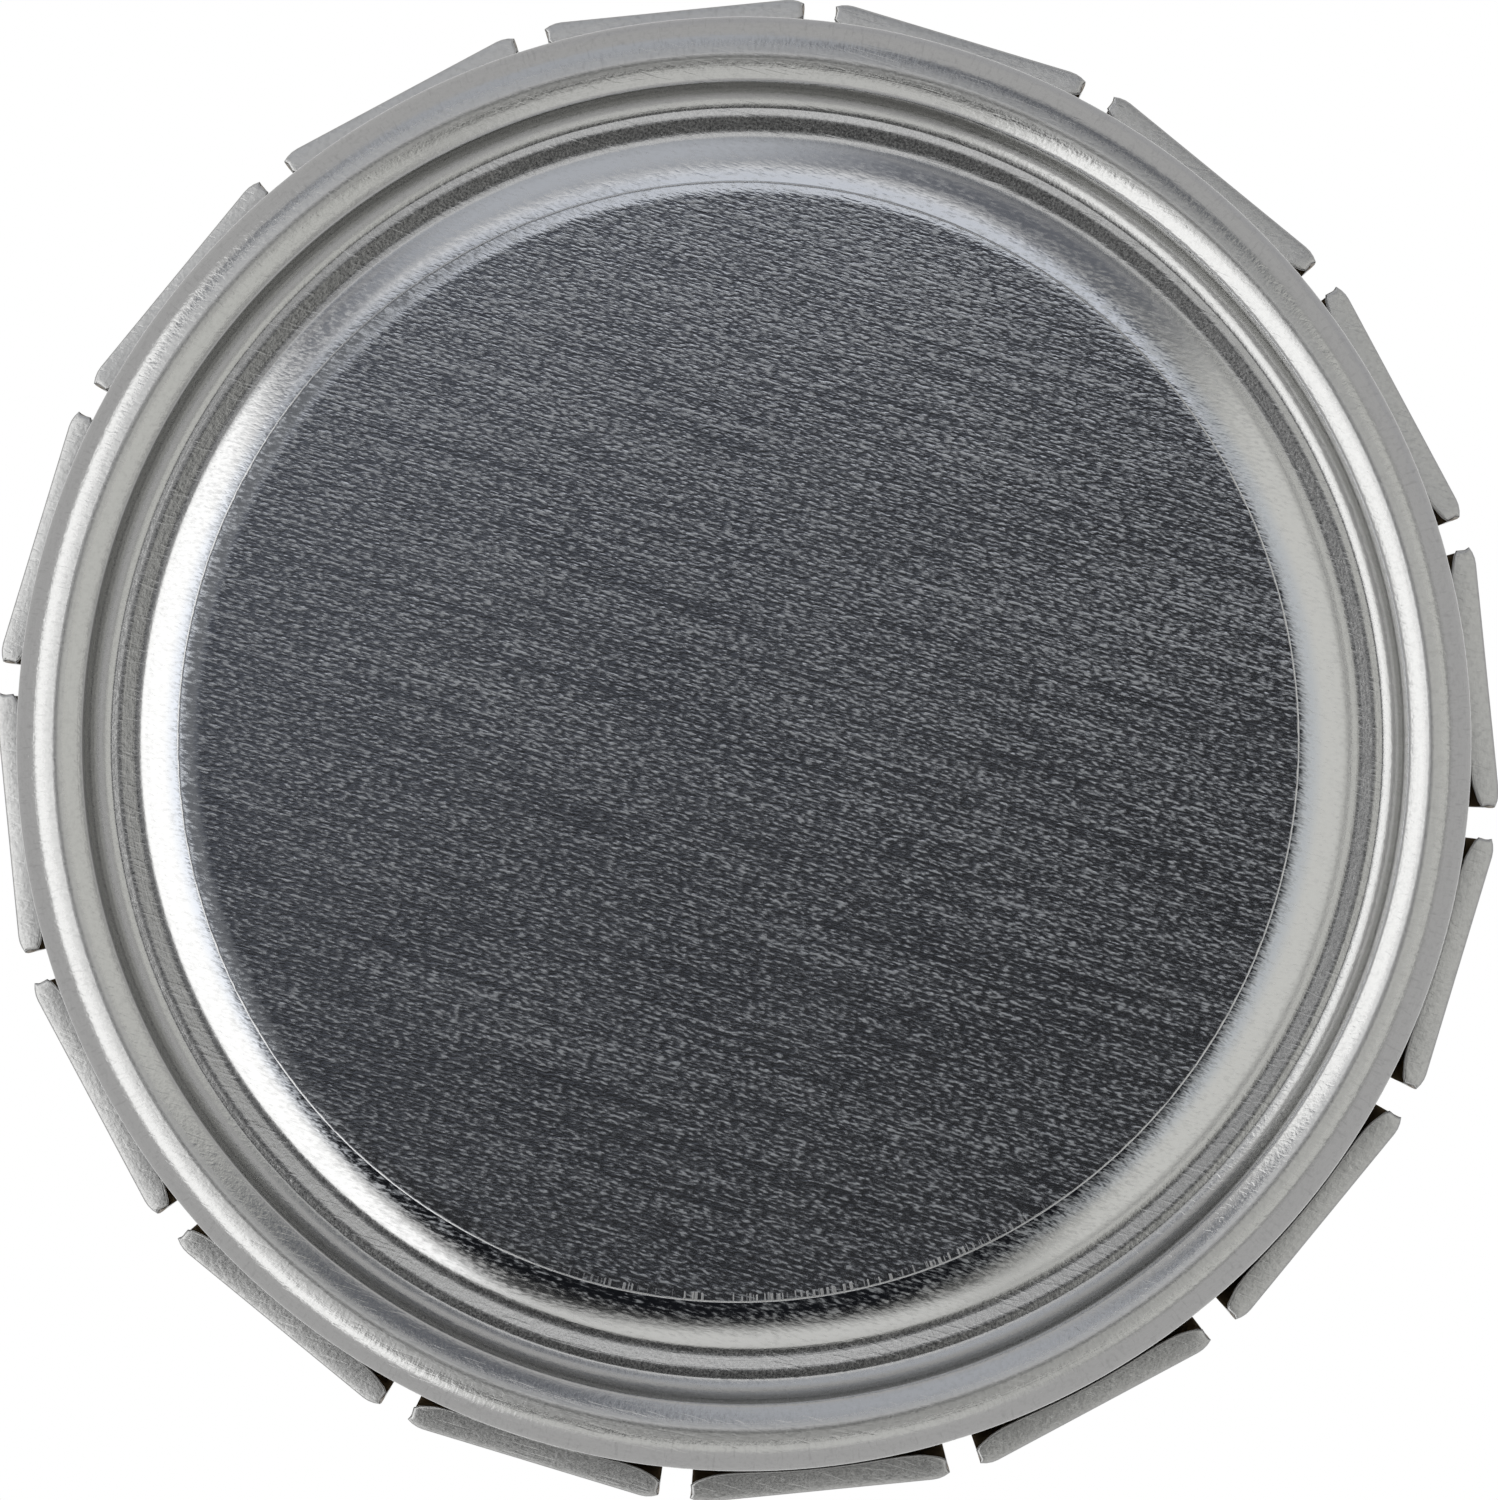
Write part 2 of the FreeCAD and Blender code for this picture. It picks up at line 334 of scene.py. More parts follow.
def tinplate(name, dull, bright, grain_turn, polish, wear, scuff, drawn, shaded_groove):
    """Rolled tinplate: bright with fine matt dashes, speckled where drawn, with painted shade down in its
    groove.
    """
    finish, shader, place = new_finish(name)
    shader.inputs["Metallic"].default_value = 1.0
    across = place.node("ShaderNodeSeparateXYZ", {}, {0: place}, output="X")
    along = place.node("ShaderNodeSeparateXYZ", {}, {0: place}, output="Y")
    height = place.node("ShaderNodeSeparateXYZ", {}, {0: place}, output="Z")
    radius = place.math("SQRT", across * across + along * along)

    def ring(near, ends):
        """Rises from 0 to 1 between two distances from a radius."""
        return radius.step(near + ends[0], near + ends[1])

    bent = radius.step(drawn[0] - bent_lead[0], drawn[0] - bent_lead[1])
    worked = radius.step(*drawn)
    groove = worked * ring(drawn[1], groove_end)
    # Painted shade: the colour turns dark across the groove's steep wall, standing in for its shade.
    groove_painted_shade = radius.step(*shaded_groove) * radius.step(shaded_groove[1] + painted_shade_end, shaded_groove[1])
    outer = ring(shaded_groove[1], outer_start) * height.step(*outer_height)
    foot = ring(shaded_groove[1], foot_start) * ring(shaded_groove[1], foot_end)
    round_inputs = {"X": across / radius, "Y": along / radius, "Z": radius * ray_stretch}
    roundabout = place.node("ShaderNodeCombineXYZ", {}, round_inputs)
    grain = place.noise(grain_fineness, grain_turn, 1.0) - 0.5
    streaks = place.noise(streak_fineness, grain_turn) - 0.5
    lines = place.noise(line_fineness, grain_turn, 0.0)
    brushing = place.noise(brushing_fineness, grain_turn) - 0.5
    speckle = place.noise(speckle_fineness, detail=1.0) - 0.5
    mottle = place.noise(mottle_fineness) - 0.5
    pebble = place.noise(pebble_fineness) - 0.5
    scratches = place.noise(scratch_fineness, grain_turn + scratch_turn, 0.0).step(*scratch_range)
    rays = roundabout.noise(ray_fineness, detail=3.0)
    rings = roundabout.noise(ring_fineness, detail=3.0) - 0.5
    dark_lines = lines.step(*dark_line_range)
    pale_lines = lines.step(*pale_line_range)
    dashes = (
        dash_level
        + grain * grain_share
        + streaks * streak_share
        - dark_lines * dark_line_share
        + pale_lines * pale_line_share
        + brushing * brushing_share
    )
    dashes = place.math("MINIMUM", place.math("MAXIMUM", dashes, 0.0), 1.0)
    ray_height = (outer * outer_ray_depth + ray_depth) * rays * MM
    draw_marks = speckle * speckle_depth + ray_height + rings * ring_depth
    relief = (
        (1 - worked) * (1 - bent * flattened_share) * (grain * grain_depth + streaks * streak_depth)
        + worked * draw_marks
        + worked * (pebble * scuff - scratches * (scuff * scratch_share))
        + mottle * mottle_depth
    )
    colour = (dashes * dash_tint + mottle * mottle_tint + least_tint).mix(dull, bright)
    colour = bent.mix(colour, tin_bent)
    colour = (worked * (worn_tint + rings * ring_tint)).mix(colour, tin_worn)
    colour = (outer * rays.step(*ray_mark_range) * ray_mark_share).mix(colour, tin_mark)
    colour = (worked * pebble.step(*pit_range) * (scuff * pit_share)).mix(colour, tin_mark)
    polished = polish + bent * bent_roughness + dashes * (dash_roughness - bent * bent_dash_loss)
    drawn_out = wear + speckle * speckle_roughness + groove * groove_roughness + foot * foot_roughness
    put_on(shader, {
        "Base Color": (groove_painted_shade * painted_shade_tint).mix(colour, tin_painted_shade),
        "Roughness": (1 - worked) * polished + worked * drawn_out,
        "Normal": relief.bump(),
    })
    return finish


base = start_piece("base")
draw_section(
    base,
    [
        section_point(0, panel_height),
        section_point(panel_corner, panel_height),
        section_point(crease_radius, crease_height),
        section_point(bead_inner, bead_inner_height),
        section_point(bead_outer, bead_outer_height),
        section_point(groove_corner, groove_height),
        section_point(wall_foot, wall_foot_height),
        section_point(foot_middle, foot_middle_height),
        section_point(foot_crest, -foot_crest_drop),
        section_point(base_radius, foot_side_height),
        section_point(base_radius, neck_start),
        section_point(roll_inner, neck_end),
        section_point(roll_inner, base_height - sheet),
        section_point(roll_outer, base_height - sheet),
        section_point(roll_outer, roll_bottom + sheet),
        section_point(roll_inner + roll_tuck, roll_bottom + sheet),
    ],
    [
        shoulder_bend, crease_bend, bead_foot_bend, bead_crest_bend, groove_bend, wall_foot_bend,
        foot_middle_bend, crest_bend, foot_outer_bend, neck_bend, neck_bend, roll_bend, roll_bend, roll_bend,
    ],
    base_bend_steps,
)
turn_section(base, -up)
for vert in base.data.vertices:
    panel_share = smoothstep(vert.co.xy.length, bead_inner, crease_radius)
    groove_share = smoothstep(vert.co.xy.length, foot_crest, wall_foot)
    vert.co += panel_shift * (panel_share * (1 - groove_shift_share) + groove_share * groove_shift_share)
thicken(base, sheet)
smooth(base)
base.data.materials.append(tinplate(
    "base_tinplate", tin_dull, tin_bright, 0.0, tin_polish, tin_wear, tin_scuff,
    (drawn_from, drawn_to), (painted_shade_from, painted_shade_to),
))
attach(base, "base")
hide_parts("base_shell")

# Label: a round of clear film, printed on a roll and stuck by hand a little off centre.
# It lies on the flat panel, and its edge just follows the start of the panel's shoulder.
label_low, label_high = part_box("base_label")
label_radius = (label_high.x - label_low.x) / 2
label_centre = (label_high.x + label_low.x) / 2
film = 0.06 * MM
glue = 0.004 * MM
label_edge = 0.07 * MM
label_bevel = 0.035 * MM
pucker = 0.3 * MM
lifted_side = Vector((0.42, 0.907, 0))
label_rings = [0, 0.5, 0.8, 0.93, 0.95, 0.97, 0.985, 1.0]
crimp_outer = 0.09 * MM
crimp_inner = 0.14 * MM
pleat_depth = 0.02 * MM
film_ior = 1.49
film_grey = (0.7, 0.7, 0.71, 1)
film_pale = (0.8, 0.8, 0.8, 1)
film_under = -0.5
label_bevel_steps = 2
lifted_range = (0.88, 0.97)
tick_range = (0.54, 0.62)
waver_fineness = (40, 40, 40)
pucker_fineness = (60, 60, 60)
pleat_fineness = (200, 200, 200)
haze_fineness = (400, 400, 400)
film_roughness = 0.1
haze_roughness = 0.08
rim_roughness = 0.1
tick_roughness = 0.3
film_cover = 0.012
haze_cover = 0.008
rim_cover = 0.8
tick_cover = 0.5
flat_radius = panel_corner - shoulder_bend * math.tan(
    math.atan2(crease_height - panel_height, crease_radius - panel_corner) / 2
)


def under_panel(spot):
    """The height of the panel's underside at a place, flat and then rising along the shoulder."""
    past = max(0.0, (spot.xy - panel_shift.xy).length - flat_radius)
    return panel_height + shoulder_bend - math.sqrt(shoulder_bend ** 2 - past ** 2)


label = start_piece("label")
draw_section(label, [section_point(label_radius * share, panel_height) for share in label_rings])
turn_section(label, -up)
for vert in label.data.vertices:
    vert.co.x += label_centre
    vert.co.z = under_panel(vert.co) - glue - film
thicken(label, film)
bpy.ops.object.mode_set(mode="EDIT")
bpy.ops.mesh.select_mode(type="EDGE")
bpy.ops.mesh.select_all(action="DESELECT")
disc = bmesh.from_edit_mesh(label.data)
for edge in disc.edges:
    below = [face for face in edge.link_faces if face.normal.z < film_under]
    edge.select_set(len(below) == 1)
bmesh.update_edit_mesh(label.data)
bpy.ops.mesh.bevel(affect="EDGES", offset_type="OFFSET", offset=label_bevel, segments=label_bevel_steps)
bpy.ops.object.mode_set(mode="OBJECT")
smooth(label)

finish, shader, place = new_finish("clear_film")
shader.inputs["IOR"].default_value = film_ior
to_centre = {"Vector": place, "Location": (-label_centre, 0, 0), "Scale": (1, 1, 0)}
centred = place.node("ShaderNodeMapping", {}, to_centre)
reach = centred.node("ShaderNodeVectorMath", {"operation": "LENGTH"}, {0: centred}, output="Value")
bearing = centred.node("ShaderNodeVectorMath", {"operation": "NORMALIZE"}, {0: centred})
towards = {0: bearing, 1: lifted_side}
nearness = bearing.node("ShaderNodeVectorMath", {"operation": "DOT_PRODUCT"}, towards, output="Value")
lifted = nearness.step(*lifted_range)
waver = (bearing.noise(waver_fineness) - 0.5) * label_edge
rim = (reach + waver).step(label_radius - label_edge, label_radius - label_edge / 2)
length = bearing.noise(pucker_fineness) * pucker
crimp = (reach + length).step(label_radius - crimp_inner, label_radius - crimp_outer) * (1 - rim)
pleats = bearing.noise(pleat_fineness, detail=1.0)
ticks = lifted * crimp * pleats.step(*tick_range)
haze = place.noise(haze_fineness)
put_on(shader, {
    "Base Color": haze.mix(film_grey, film_pale),
    "Metallic": rim + ticks,
    "Roughness": film_roughness + haze * haze_roughness + rim * rim_roughness + ticks * tick_roughness,
    "Alpha": film_cover + haze * haze_cover + rim * rim_cover + ticks * tick_cover,
    "Normal": (pleats * crimp * pleat_depth).bump(),
})
label.data.materials.append(finish)
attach(label, "base")
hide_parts("base_label")

# Mints: small sugar tablets pressed in a die, with a straight band between two shallow crowns.
# They lie loose in the base, three deep, tipped and shuffled as they fell.
mint_radius = 3.7 * MM
mint_thickness = 2.9 * MM
mint_band = 1.7 * MM
mint_edge = 0.15 * MM
mint_gap = 0.1 * MM
mint_pitch = 3.05 * MM
mint_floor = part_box("mints")[0].z
mint_wall_gap = 0.25 * MM
mint_reach = base_radius - sheet - mint_wall_gap - mint_radius
mints_in_layer = 21
mint_tips = [1.5, 2.0, 5.0]
mint_seed = 7
push_rounds = 600
powder_depth = 0.03 * MM
sugar_white = (0.93, 0.93, 0.91, 1)
sugar_grey = (0.8, 0.83, 0.81, 1)
mint_steps = 36
mint_edge_steps = 3
mint_crease = 60
powder_fineness = (5000, 5000, 5000)
fleck_fineness = (1500, 1500, 1500)
fleck_range = (0.68, 0.74)
powder_tint = 0.5
fleck_tint = 0.3
sugar_roughness = 0.75
powder_roughness = 0.2


def scatter(count, reach, apart):
    """Places for loose tablets in a round tin, shuffled and then pushed apart until none overlap."""
    places = [Vector((chance.uniform(-reach, reach), chance.uniform(-reach, reach))) for _ in range(count)]
    for _ in range(push_rounds):
        for one in places:
            for other in places:
                between = one - other
                if one is not other and between.length < apart:
                    push = (apart - between.length) / 2
                    one += between.normalized() * push
                    other -= between.normalized() * push
            if one.length > reach:
                one *= reach / one.length
    return places


chance = random.Random(mint_seed)
crown = (mint_thickness - mint_band) / 2
crown_sphere = (mint_radius ** 2 + crown ** 2) / (2 * crown)
crown_rings = 6
tablet = start_piece("mints")
arc = [math.asin(mint_radius / crown_sphere) * ring / crown_rings for ring in range(crown_rings + 1)]
lower = [section_point(crown_sphere * math.sin(a), crown_sphere * (1 - math.cos(a))) for a in arc]
upper = [section_point(point.x, mint_thickness - point.z) for point in reversed(lower)]
draw_section(tablet, lower + upper)
pick(tablet, lambda spot: abs(spot.x - mint_radius) < merge_gap)
bpy.ops.mesh.bevel(affect="VERTICES", offset=mint_edge, segments=mint_edge_steps)
turn_section(tablet, steps=mint_steps)
smooth(tablet, mint_crease)
pile = []
for layer, tip in enumerate(mint_tips):
    for spot in scatter(mints_in_layer, mint_reach, 2 * mint_radius + mint_gap):
        bpy.ops.object.select_all(action="DESELECT")
        tablet.select_set(True)
        bpy.context.view_layer.objects.active = tablet
        bpy.ops.object.duplicate()
        mint = bpy.context.object
        lean = (math.radians(chance.uniform(-tip, tip)), math.radians(chance.uniform(-tip, tip)))
        mint.rotation_euler = (lean[0], lean[1], chance.uniform(0, math.pi))
        lift = (abs(lean[0]) + abs(lean[1])) * mint_radius / 2
        mint.location = (spot.x, spot.y, mint_floor + layer * mint_pitch + lift)
        pile.append(mint)
bpy.ops.object.select_all(action="DESELECT")
for mint in pile:
    mint.select_set(True)
bpy.context.view_layer.objects.active = pile[0]
bpy.ops.object.transform_apply(location=True, rotation=True, scale=True)
bpy.ops.object.join()
bpy.data.objects.remove(tablet)
mints = bpy.context.object
mints.name = "mints_pile"

finish, shader, place = new_finish("pressed_sugar")
powder = place.noise(powder_fineness, detail=4.0)
flecks = place.noise(fleck_fineness).step(*fleck_range)
put_on(shader, {
    "Base Color": (powder * powder_tint + flecks * fleck_tint).mix(sugar_white, sugar_grey),
    "Roughness": sugar_roughness + powder * powder_roughness,
    "Normal": (powder * powder_depth).bump(),
})
mints.data.materials.append(finish)
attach(mints, "base")
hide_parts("mints")

# Lid: stamped from one sheet of tinplate, a springy dome inside a flat ledge and a rounded shoulder.
# Pressing the middle snaps the dome inwards; it is drawn here as its outer and its inner skin,
# from the middle of the dome to the roots of the tabs.
dome_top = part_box("lid_press_center")[1].z
ledge_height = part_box("lid_rim")[1].z
dome_rise = dome_top - ledge_height
ledge_inner = 21.05 * MM
ledge_outer = 22.05 * MM
dome_foot_bend = 1.2 * MM
lid_bend = 1.6 * MM
shoulder_lean = math.radians(30)
dome_rings = 22
foot_rings = 6
shoulder_rings = 6
lid_grain_turn = 0.7
lid_polish = 0.12
lid_wear = 0.3
lid_scuff = 0.01 * MM
lid_drawn = (22.0 * MM, 22.9 * MM)
# The groove's painted shade is set beyond the lid's edge, so the lid has none.
lid_shaded_groove = (30 * MM, 31 * MM)
# The inside lacquer is dark brown: partly the lacquer's own colour, partly painted shade so that the hollow
# behind the tabs reads black.
dark_lacquer_and_shade = (0.17, 0.125, 0.075, 1)
pale_lacquer_and_shade = (0.3, 0.235, 0.15, 1)
lacquer_depth = 0.003 * MM
flow_fineness = (300, 300, 300)
drip_fineness = (4000, 4000, 4000)
flow_tint = 0.7
drip_tint = 0.3
lacquer_roughness = 0.3
flow_roughness = 0.15
drip_roughness = 0.1
dome_sphere = (ledge_inner ** 2 + dome_rise ** 2) / (2 * dome_rise)
dome_centre = dome_top - dome_sphere
foot_centre_height = ledge_height + dome_foot_bend
foot_centre = math.sqrt((dome_sphere + dome_foot_bend) ** 2 - (foot_centre_height - dome_centre) ** 2)
dome_lean = math.asin(foot_centre / (dome_sphere + dome_foot_bend))


def arc_points(centre, radius, start, end, rings):
    """Points of an arc of a section, from one lean off the vertical to another."""
    leans = [start + (end - start) * ring / rings for ring in range(rings + 1)]
    return [centre + section_point(radius * math.sin(lean), radius * math.cos(lean)) for lean in leans]


def lid_section(depth):
    """The lid's section from the middle of the dome to the roots of the tabs, at a depth in the sheet."""
    dome = arc_points(section_point(0, dome_centre), dome_sphere - depth, 0, dome_lean, dome_rings)
    foot_point = section_point(foot_centre, foot_centre_height)
    foot = arc_points(foot_point, -(dome_foot_bend + depth), dome_lean, 0, foot_rings)
    shoulder_point = section_point(ledge_outer, ledge_height - lid_bend)
    shoulder = arc_points(shoulder_point, lid_bend - depth, 0, shoulder_lean, shoulder_rings)
    return dome + foot[1:] + shoulder


lid_finish = tinplate(
    "lid_tinplate", tin_worn, tin_bent, lid_grain_turn, lid_polish, lid_wear, lid_scuff, lid_drawn, lid_shaded_groove
)
lid_outside = start_piece("lid_outside")
draw_section(lid_outside, lid_section(0) + lid_section(sheet)[-1:])
turn_section(lid_outside, up)
smooth(lid_outside)
lid_inside = start_piece("lid_inside")
draw_section(lid_inside, lid_section(sheet))
turn_section(lid_inside, -up)
smooth(lid_inside)
# Inside lacquer, kept dark as painted shade for the lid's hollow.
lacquer_and_shade, shader, place = new_finish("inside_lacquer_and_shade")
shader.inputs["Metallic"].default_value = 1.0
flow = place.noise(flow_fineness, detail=3.0)
drips = place.noise(drip_fineness)
put_on(shader, {
    "Base Color": (flow * flow_tint + drips * drip_tint).mix(dark_lacquer_and_shade, pale_lacquer_and_shade),
    "Roughness": lacquer_roughness + flow * flow_roughness + drips * drip_roughness,
    "Normal": (drips * lacquer_depth).bump(),
})
lid_outside.data.materials.append(lid_finish)
lid_inside.data.materials.append(lacquer_and_shade)
for skin, depth in ((lid_outside, 0), (lid_inside, sheet)):
    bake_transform(skin)
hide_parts("lid_rim", "lid_flex_ring", "lid_press_center")

# Tabs: the lid's skirt, slit into sixteen flat tongues that flare when the dome is pressed.
# Each runs on from the shoulder, straightens into a flat face and ends in a half-moon lip,
# turned in under the rolled rim of the base.
tab_count = 16
tab_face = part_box("lid_tab_01")[1].x
lip_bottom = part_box("lid_tab_01")[0].z
tab_sheet = 0.16 * MM
lip_reach = 0.57 * MM
lip_fullness = 5
lip_thickness = 0.3 * MM
lip_bend = 0.06 * MM
lip_lean = 0.2 * MM
lip_burr = 0.1 * MM
slot_width = 1.0 * MM
end_curl = 0.2 * MM
end_curl_run = 0.6 * MM
tab_steps = 44
tab_bend_steps = 12
lip_bend_steps = 4
lip_burr_steps = 3
looking_down = -0.8
looking_out = 0.5
lip_under = -0.9
lip_side = -0.5
looking_in = -0.3
tab_angle = 2 * math.pi / tab_count - slot_width / tab_face
tab_half_width = (tab_face - tab_sheet) * math.tan(tab_angle / 2)
lip_depth = lip_reach + tab_sheet
lip_radius = tab_face - lip_depth
root = lid_section(0)[-1]
tab_corner = section_point(tab_face, root.z - (tab_face - root.x) * math.tan(shoulder_lean))
flat_top = ledge_height - lid_bend


def flatten(spot):
    """How much further out a point of the round skirt lies once its tab is pressed flat."""
    bearing = math.atan2(spot.y, spot.x)
    share = smoothstep(spot.z, root.z, flat_top)
    past = max(0.0, abs(spot.y) - tab_half_width + end_curl_run) / end_curl_run
    return 1 + share * (1 / math.cos(bearing) - 1) - share * end_curl / tab_face * past ** 2


def half_moon(spot):
    """How far the lip reaches in from the tab: to the round of the rim, cut round at its ends."""
    to_rim = tab_face - tab_sheet - math.sqrt(lip_radius ** 2 - spot.y ** 2)
    return to_rim * math.sqrt(max(0.0, 1 - (abs(spot.y) / tab_half_width) ** lip_fullness))


tab = start_piece("lid_tab")
draw_section(
    tab,
    [
        root,
        tab_corner,
        section_point(tab_face, lip_bottom + lip_thickness),
        section_point(tab_face, lip_bottom),
    ],
    [lid_bend],
    [tab_bend_steps],
)
turn_section(tab, Vector((1, 0, 0)), tab_angle, tab_steps)
tab.rotation_euler.z = -tab_angle / 2
bpy.ops.object.transform_apply(location=False, rotation=True, scale=False)
for vert in tab.data.vertices:
    stretch = flatten(vert.co)
    vert.co.x *= stretch
    vert.co.y *= stretch
thicken(tab, tab_sheet)
bpy.ops.object.mode_set(mode="EDIT")
bpy.ops.mesh.select_mode(type="FACE")
bpy.ops.mesh.select_all(action="DESELECT")
wall = bmesh.from_edit_mesh(tab.data)
for face in wall.faces:
    middle = face.calc_center_median()
    low = lip_bottom < middle.z < lip_bottom + lip_thickness
    face.select_set(low and face.normal.x < 0 and abs(face.normal.y) < abs(face.normal.x))
bmesh.update_edit_mesh(tab.data)
bpy.ops.mesh.extrude_region_move(TRANSFORM_OT_translate={"value": (0, 0, 0)})
lip = bmesh.from_edit_mesh(tab.data)
for vert in lip.verts:
    if vert.select:
        vert.co.x -= half_moon(vert.co)
bmesh.update_edit_mesh(tab.data)
bpy.ops.mesh.select_all(action="SELECT")
bpy.ops.mesh.remove_doubles(threshold=merge_gap)
lip = bmesh.from_edit_mesh(tab.data)
for vert in lip.verts:
    if vert.co.z < lip_bottom + merge_gap:
        vert.co.z += lip_lean * max(0.0, 1 - (tab_face - vert.co.x) / lip_depth)
lip.normal_update()
bpy.ops.mesh.select_mode(type="EDGE")
bpy.ops.mesh.select_all(action="DESELECT")
for edge in lip.edges:
    facings = [face.normal for face in edge.link_faces]
    under = any(facing.z < looking_down for facing in facings)
    edge.select_set(under and any(facing.x > looking_out for facing in facings))
bmesh.update_edit_mesh(tab.data)
bpy.ops.mesh.bevel(
    affect="EDGES", offset_type="OFFSET", offset=lip_bend, segments=lip_bend_steps, profile=0.5,
)
bpy.ops.mesh.select_all(action="DESELECT")
wall = bmesh.from_edit_mesh(tab.data)
for edge in wall.edges:
    facings = [face.normal for face in edge.link_faces]
    under = any(facing.z < lip_under for facing in facings)
    edge.select_set(under and any(facing.z > lip_side and facing.x < looking_out for facing in facings))
bmesh.update_edit_mesh(tab.data)
bpy.ops.mesh.bevel(
    affect="EDGES", offset_type="OFFSET", offset=lip_burr, segments=lip_burr_steps, profile=0.5,
)
bpy.ops.object.mode_set(mode="OBJECT")
smooth(tab)
tab.data.materials.append(lid_finish)
tab.data.materials.append(lacquer_and_shade)
# The tabs' inner faces take the dark lacquer, painted shade for the gap between tab and base.
for face in tab.data.polygons:
    inside = face.normal.x < looking_in and face.center.z > lip_bottom + lip_thickness
    face.material_index = 1 if inside else 0
for number in range(tab_count):
    bpy.ops.object.select_all(action="DESELECT")
    tab.select_set(True)
    bpy.context.view_layer.objects.active = tab
    bpy.ops.object.duplicate()
    tongue = bpy.context.object
    tongue.name = f"tab_{number + 1:02d}"
    tongue.data.name = tongue.name
    tongue.rotation_euler.z = number * 2 * math.pi / tab_count
    bpy.ops.object.transform_apply(location=False, rotation=True, scale=False)
    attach(tongue, f"tab_{number + 1:02d}")
    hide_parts(f"lid_tab_{number + 1:02d}")
bpy.data.objects.remove(tab)

# Floor: a plain pale table top. From above it takes the tin's shadow;
# from below it lets the light and the view through, as a glass table does.
floor_size = 3.0
floor_gap = 0.02 * MM
floor_colour = (0.9, 0.9, 0.9, 1)
floor_roughness = 0.8
bpy.ops.object.select_all(action="DESELECT")
bpy.ops.mesh.primitive_plane_add(size=floor_size, location=(0, 0, -floor_gap))
floor = bpy.context.object
floor.name = "floor"
bpy.ops.object.transform_apply(location=True)
table_top = bpy.data.materials.new("table_top")
table_top.use_nodes = True
tree = table_top.node_tree
tree.nodes["Principled BSDF"].inputs["Base Color"].default_value = floor_colour
tree.nodes["Principled BSDF"].inputs["Roughness"].default_value = floor_roughness
seen = Wire(tree).node("ShaderNodeLightPath", output="Is Camera Ray")
below = Wire(tree).node("ShaderNodeNewGeometry", output="Backfacing")
clear = Wire(tree).node("ShaderNodeBsdfTransparent")
pale = Wire(tree, tree.nodes["Principled BSDF"].outputs[0])
shown = Wire(tree).node("ShaderNodeMixShader", {}, {0: seen * (1 - below), 1: clear, 2: pale})
tree.links.new(shown.socket, tree.nodes["Material Output"].inputs["Surface"])
floor.data.materials.append(table_top)

# Camera: under the tin, looking straight up at its base from a little right and below the middle.
photo_turn = math.radians(-16.85)
camera_distance = 450 * MM
camera_right = 5.1 * MM
camera_down = 10.3 * MM
lens = 348
sensor = 36
nearest_seen = 0.01
picture_right = Vector((math.cos(photo_turn), math.sin(photo_turn), 0))
picture_up = Vector((math.sin(photo_turn), -math.cos(photo_turn), 0))
aim_right = 0.171 * MM
aim_down = 0.217 * MM
aim_height = 1.2 * MM
aim = picture_right * aim_right - picture_up * aim_down + up * aim_height
bpy.ops.object.camera_add()
camera = bpy.context.object
camera.location = picture_right * camera_right - picture_up * camera_down - Vector((0, 0, camera_distance))
ahead = (aim - camera.location).normalized()
upright = (picture_up - ahead * picture_up.dot(ahead)).normalized()
camera.rotation_euler = Matrix((ahead.cross(upright), upright, -ahead)).transposed().to_euler()
camera.data.lens = lens
camera.data.sensor_width = sensor
camera.data.clip_start = nearest_seen
bpy.context.scene.camera = camera

# Light: a plain studio. Soft boxes and pale cards stand all round the tin, above and below the table,
# with the dark of the room left round the camera so that the flat panel mirrors it.
room = bpy.data.worlds.new("studio")
bpy.context.scene.world = room
room.use_nodes = True
tree = room.node_tree
heading = Wire(tree).node("ShaderNodeTexCoord", output="Generated")
ray_kinds = ("Is Camera Ray", "Is Glossy Ray", "Is Transmission Ray")
black = (0, 0, 0, 1)
white = (1, 1, 1, 1)
gloom_tint = (0.92, 0.97, 1.11, 1)
gloom_up = 0.6
gloom_right = 0.45
gloom_level = 0.02
gloom_least = 0.01
gloom_most = 0.15
horizon_grey = (0.5, 0.497, 0.495, 1)
horizon_range = (46, 64)
behind_range = (155, 175)
# Each card has the tilts and turns of its corners, the softness of its edge, and its colour.
far_card = ([(34, 84), (64, 82), (65, 118), (40, 132)], 0.12, (0.5, 0.52, 0.56, 1))
top_card = ([(17, 31), (33, 70), (37, 126), (27, 164)], 0.05, (0.84, 0.84, 0.845, 1))
bottom_card = ([(28, 298), (33, 270), (33, 248), (66, 240), (66, 294)], 0.08, (0.69, 0.69, 0.67, 1))
right_card = ([(15, 43), (28.5, 298), (54, 294), (54, 345), (56, 43)], 0.1, (0.7, 0.7, 0.67, 1))
glow_card = ([(22, 108), (13, 212), (28, 211), (31, 136)], 0.08, (0.19, 0.19, 0.19, 1))
soft_box = ([(29, 147), (42.5, 241), (74, 246), (74, 140)], 0.06, (1.38, 1.38, 1.37, 1))
overhead_card = ([(108, 20), (108, 110), (150, 100), (150, 30)], 0.15, (0.45, 0.45, 0.46, 1))
backdrop_grey = (0.9, 0.9, 0.9, 1)


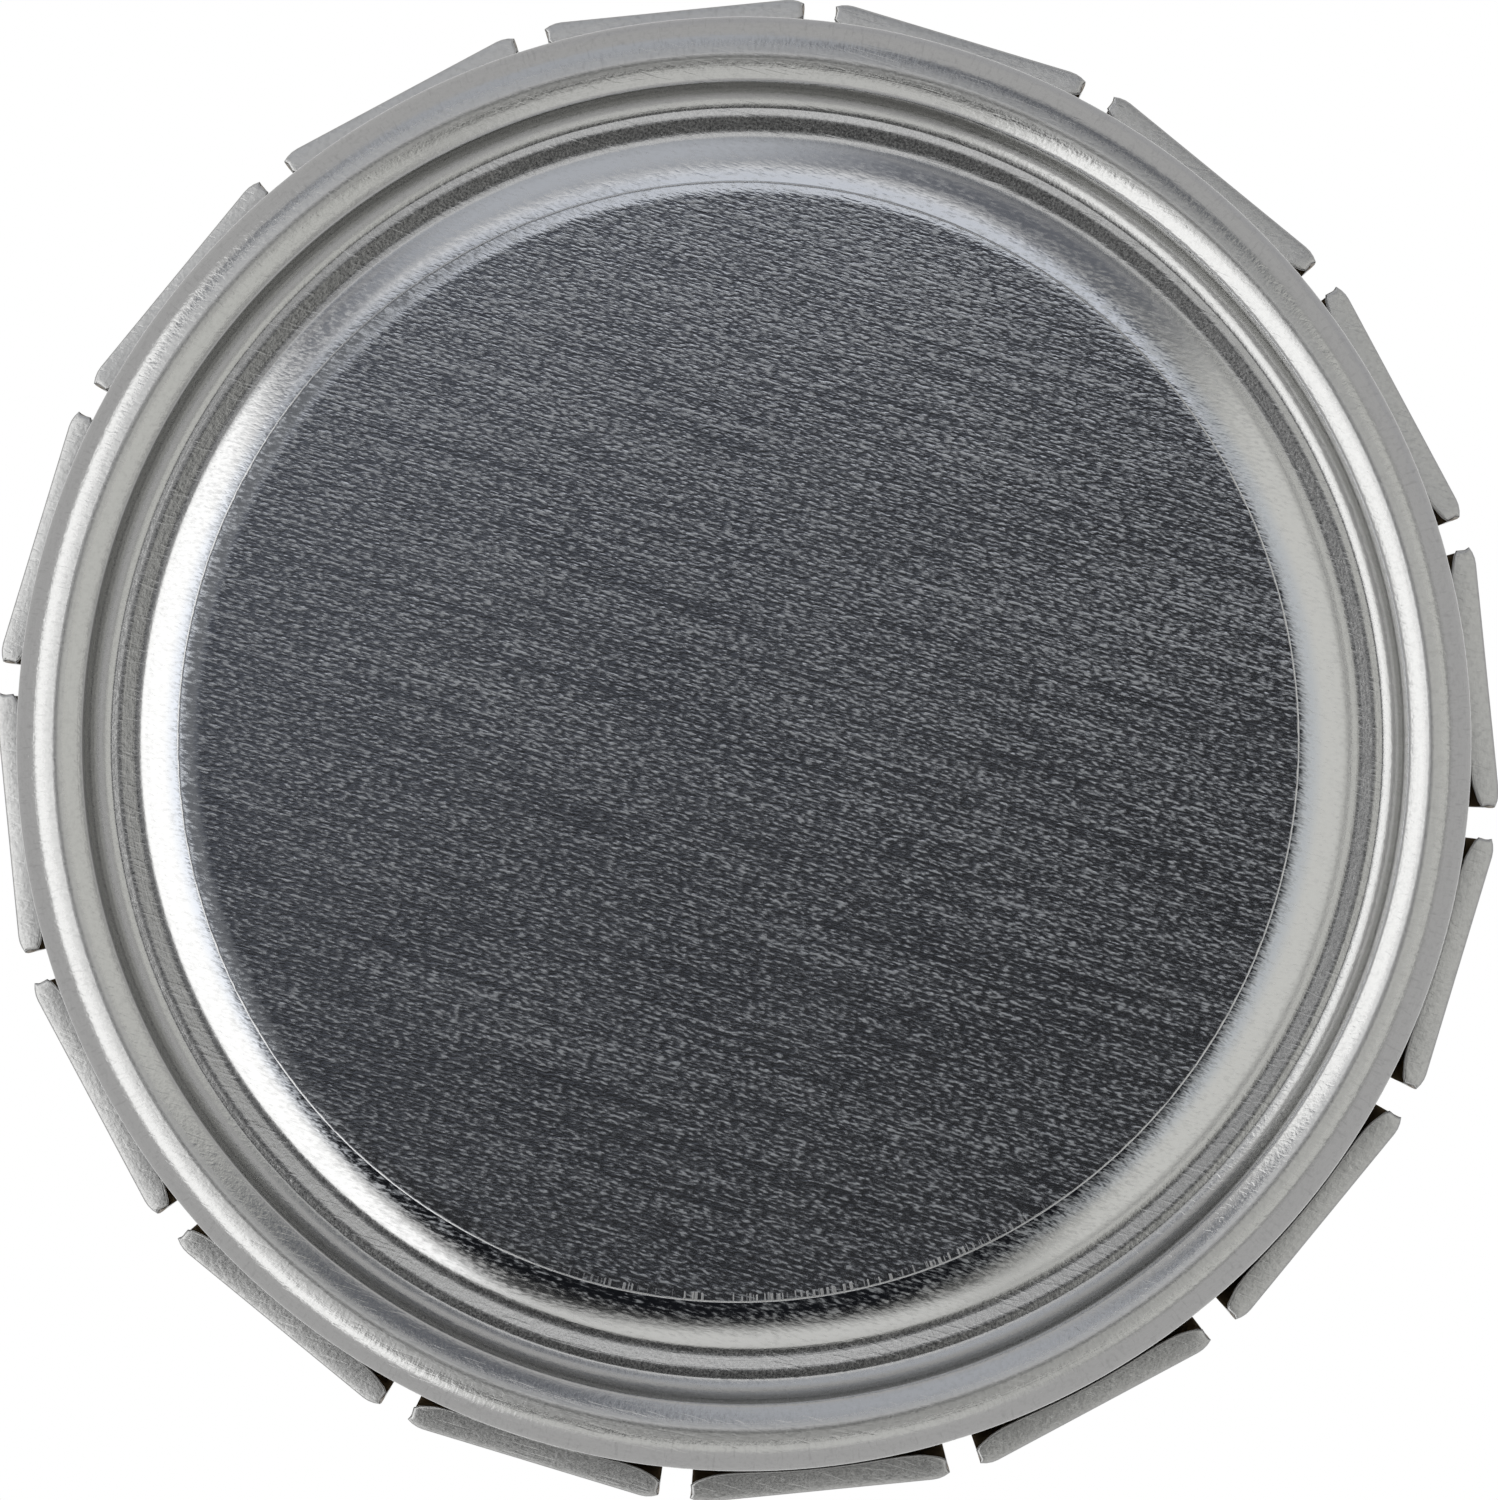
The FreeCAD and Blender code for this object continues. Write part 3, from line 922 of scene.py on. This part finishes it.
def along(direction):
    """How far the light's heading leans towards a direction."""
    settings = {"operation": "DOT_PRODUCT"}
    return heading.node("ShaderNodeVectorMath", settings, {0: heading, 1: direction}, output="Value")


def seen_at(tilt, turn):
    """The direction of a point of the studio: its tilt from straight down, and its turn in the picture."""
    side = picture_right * math.cos(math.radians(turn)) + picture_up * math.sin(math.radians(turn))
    return side * math.sin(math.radians(tilt)) - up * math.cos(math.radians(tilt))


def card(light, corners, soft, colour):
    """Hangs a soft-edged card in the studio, given by its corners' tilts and turns as the tin sees them."""
    ends = [seen_at(tilt, turn) for tilt, turn in corners]
    middle = sum(ends, Vector())
    share = 1.0
    for start, end in zip(ends, ends[1:] + ends[:1]):
        inwards = start.cross(end).normalized()
        if inwards.dot(middle) < 0:
            inwards = -inwards
        share = along(inwards).step(-soft, soft) * share
    return share.mix(light, colour)


tilt = heading.math("ARCCOSINE", along(-up)) * (180 / math.pi)
gloom = along(picture_up) * gloom_up - along(picture_right) * gloom_right + gloom_level
gloom = heading.math("MINIMUM", heading.math("MAXIMUM", gloom, gloom_least), gloom_most)
light = gloom.mix(black, gloom_tint)
light = tilt.step(*horizon_range).mix(light, horizon_grey)
for hung in (far_card, top_card, bottom_card, right_card, glow_card, soft_box):
    light = card(light, *hung)
rays = {kind: Wire(tree).node("ShaderNodeLightPath", output=kind) for kind in ray_kinds}
behind = tilt.step(*behind_range)
light = behind.mix(light, backdrop_grey)
light = (behind * (rays["Is Glossy Ray"] + rays["Is Transmission Ray"])).mix(light, white)
light = card(light, *overhead_card)
light = rays["Is Camera Ray"].mix(light, white)
tree.links.new(light.socket, tree.nodes["Background"].inputs["Color"])

# Lamp: one large soft lamp high above the table.
# It lights the floor and the mints, and the metal does not mirror it.
lamp_place = (-0.45, -0.35, 0.9)
lamp_size = 0.7
lamp_watts = 4.5
bpy.ops.object.light_add(type="AREA", location=lamp_place)
lamp = bpy.context.object
lamp.rotation_euler = (-lamp.location).to_track_quat("-Z", "Y").to_euler()
lamp.data.size = lamp_size
lamp.data.energy = lamp_watts
lamp.visible_glossy = False

bpy.context.scene.view_settings.view_transform = "Standard"
